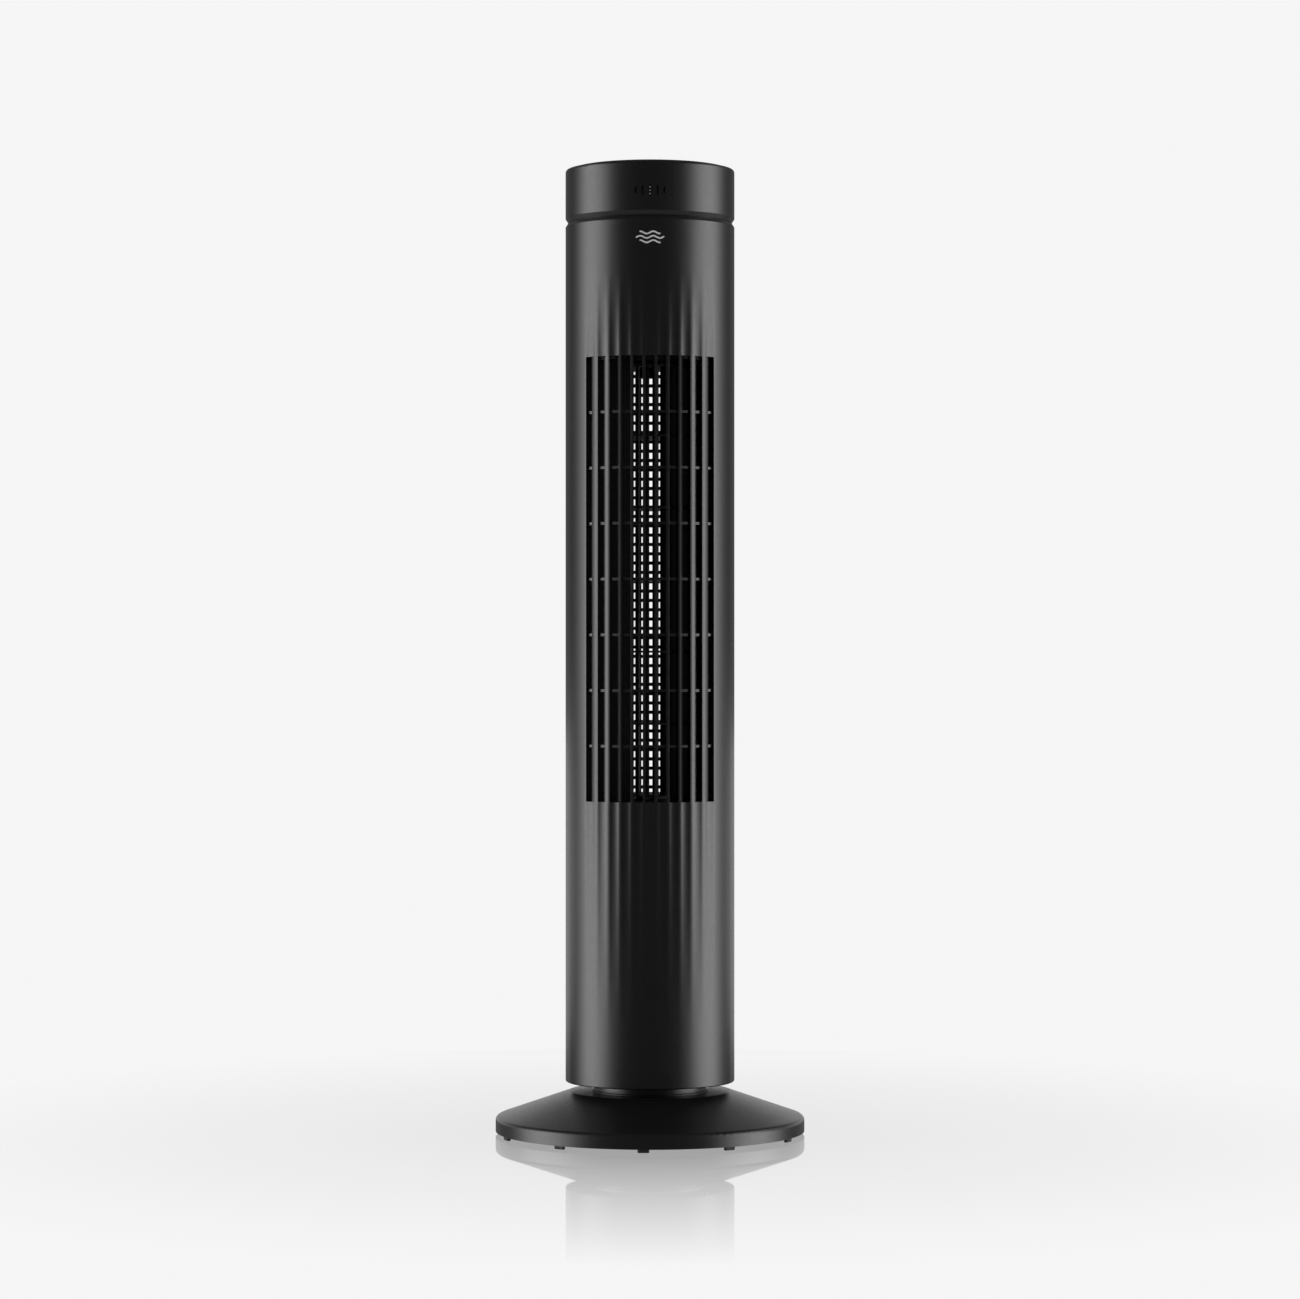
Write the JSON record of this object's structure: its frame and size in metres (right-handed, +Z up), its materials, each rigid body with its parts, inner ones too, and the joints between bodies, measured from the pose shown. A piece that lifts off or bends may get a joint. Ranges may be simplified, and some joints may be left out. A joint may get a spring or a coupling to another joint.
{
  "type": "tower fan",
  "caption": "Slim round column fan on a weighted disc base, with a louvred front outlet, rear intake grille, swinging column and push-button top panel.",
  "frame": {"origin": "centre of the base's footprint, on the surface the rubber feet rest on", "axes": "+Z up along the column, -Y out of the front grille, +X to the viewer's right seen from the front"},
  "size_m": [0.243, 0.243, 0.76],
  "materials": {
    "case_plastic": "satin black moulded plastic",
    "inner_plastic": "matt black moulded plastic",
    "impeller_plastic": "matt black moulded plastic",
    "panel_gloss": "gloss black",
    "window_tint": "gloss dark tint",
    "button_plastic": "satin black",
    "rubber": "matt",
    "plated_steel": "zinc plated",
    "screw_steel": "zinc plated",
    "ballast_steel": "primer grey",
    "lamination_steel": "stacked laminations",
    "bell_aluminium": "cast",
    "winding_copper": "enamelled wire",
    "bearing_bronze": "sintered",
    "acetal": "natural white",
    "capacitor_case": "cream",
    "circuit_board": "green solder resist",
    "component_black": "satin",
    "light_pipe": "clear frosted"
  },
  "bodies": {
    "base": {"base_shell": "case_plastic", "base_plate": "inner_plastic", "base_ballast": "ballast_steel", "rubber_feet": "rubber", "base_plate_screws": "screw_steel", "cord_gland": "rubber", "pivot_collar": "case_plastic", "pivot_post": "plated_steel", "pivot_screws": "screw_steel", "turntable_slip_ring": "acetal", "pivot_nut": "plated_steel", "swing_yoke": "plated_steel"},
    "tower": {"tower_floor": "inner_plastic", "front_shell": "case_plastic", "rear_shell": "case_plastic", "shell_screws": "screw_steel", "duct_floor_plate": "inner_plastic", "duct_top_plate": "inner_plastic", "volute_wall": "inner_plastic", "duct_tongue": "inner_plastic", "bearing_mount": "rubber", "shaft_bearings": "bearing_bronze", "motor_stator": "lamination_steel", "motor_windings": "winding_copper", "motor_end_bells": "bell_aluminium", "motor_screws": "screw_steel", "run_capacitor": "capacitor_case", "swing_motor_bracket": "plated_steel", "swing_drive_screws": "screw_steel", "swing_motor": "plated_steel", "head_ring": "case_plastic", "case_screws": "screw_steel", "indicator_board": "circuit_board", "indicator_light_pipes": "light_pipe", "control_panel": "panel_gloss", "panel_windows": "window_tint", "control_board": "circuit_board", "board_screws": "screw_steel", "tact_switches": "component_black", "board_components": "component_black"},
    "impeller": {"impeller_segment_1": "impeller_plastic", "impeller_segment_2": "impeller_plastic", "impeller_segment_3": "impeller_plastic", "impeller_segment_4": "impeller_plastic", "impeller_segment_5": "impeller_plastic", "impeller_segment_6": "impeller_plastic", "impeller_end_cap": "impeller_plastic", "upper_stub_shaft": "plated_steel", "impeller_hub": "bell_aluminium", "hub_grub_screw": "screw_steel", "motor_rotor": "lamination_steel", "motor_shaft": "plated_steel"},
    "crank": {"swing_crank": "acetal", "swing_motor_shaft": "plated_steel", "crank_screw": "screw_steel"},
    "button_power": {"button_power": "button_plastic"},
    "button_speed": {"button_speed": "button_plastic"},
    "button_mode": {"button_mode": "button_plastic"},
    "button_timer": {"button_timer": "button_plastic"},
    "button_swing": {"button_swing": "button_plastic"}
  },
  "joints": [
    {"name": "swing", "type": "hinge", "parent": "base", "child": "tower", "pos_m": [0, 0, 0.05], "axis": [0, 0, 1], "range_deg": [-35, 35]},
    {"name": "impeller_spin", "type": "hinge", "parent": "tower", "child": "impeller", "pos_m": [-0.0025, 0.008, 0.435], "axis": [0, 0, 1], "continuous": true},
    {"name": "crank_turn", "type": "hinge", "parent": "tower", "child": "crank", "pos_m": [0, 0.034, 0.0685], "axis": [0, 0, 1], "range_deg": [-105, 105]},
    {"name": "press_power", "type": "slide", "parent": "tower", "child": "button_power", "axis": [0, 0, -1], "range_m": [0, 0.0008], "stiffness_N_per_m": 1500, "springref_m": -0.0004},
    {"name": "press_speed", "type": "slide", "parent": "tower", "child": "button_speed", "axis": [0, 0, -1], "range_m": [0, 0.0008], "stiffness_N_per_m": 1500, "springref_m": -0.0004},
    {"name": "press_mode", "type": "slide", "parent": "tower", "child": "button_mode", "axis": [0, 0, -1], "range_m": [0, 0.0008], "stiffness_N_per_m": 1500, "springref_m": -0.0004},
    {"name": "press_timer", "type": "slide", "parent": "tower", "child": "button_timer", "axis": [0, 0, -1], "range_m": [0, 0.0008], "stiffness_N_per_m": 1500, "springref_m": -0.0004},
    {"name": "press_swing", "type": "slide", "parent": "tower", "child": "button_swing", "axis": [0, 0, -1], "range_m": [0, 0.0008], "stiffness_N_per_m": 1500, "springref_m": -0.0004}
  ],
  "couplings": [
    {"joint": "crank_turn", "follows": "swing", "ratio": -3}
  ]
}
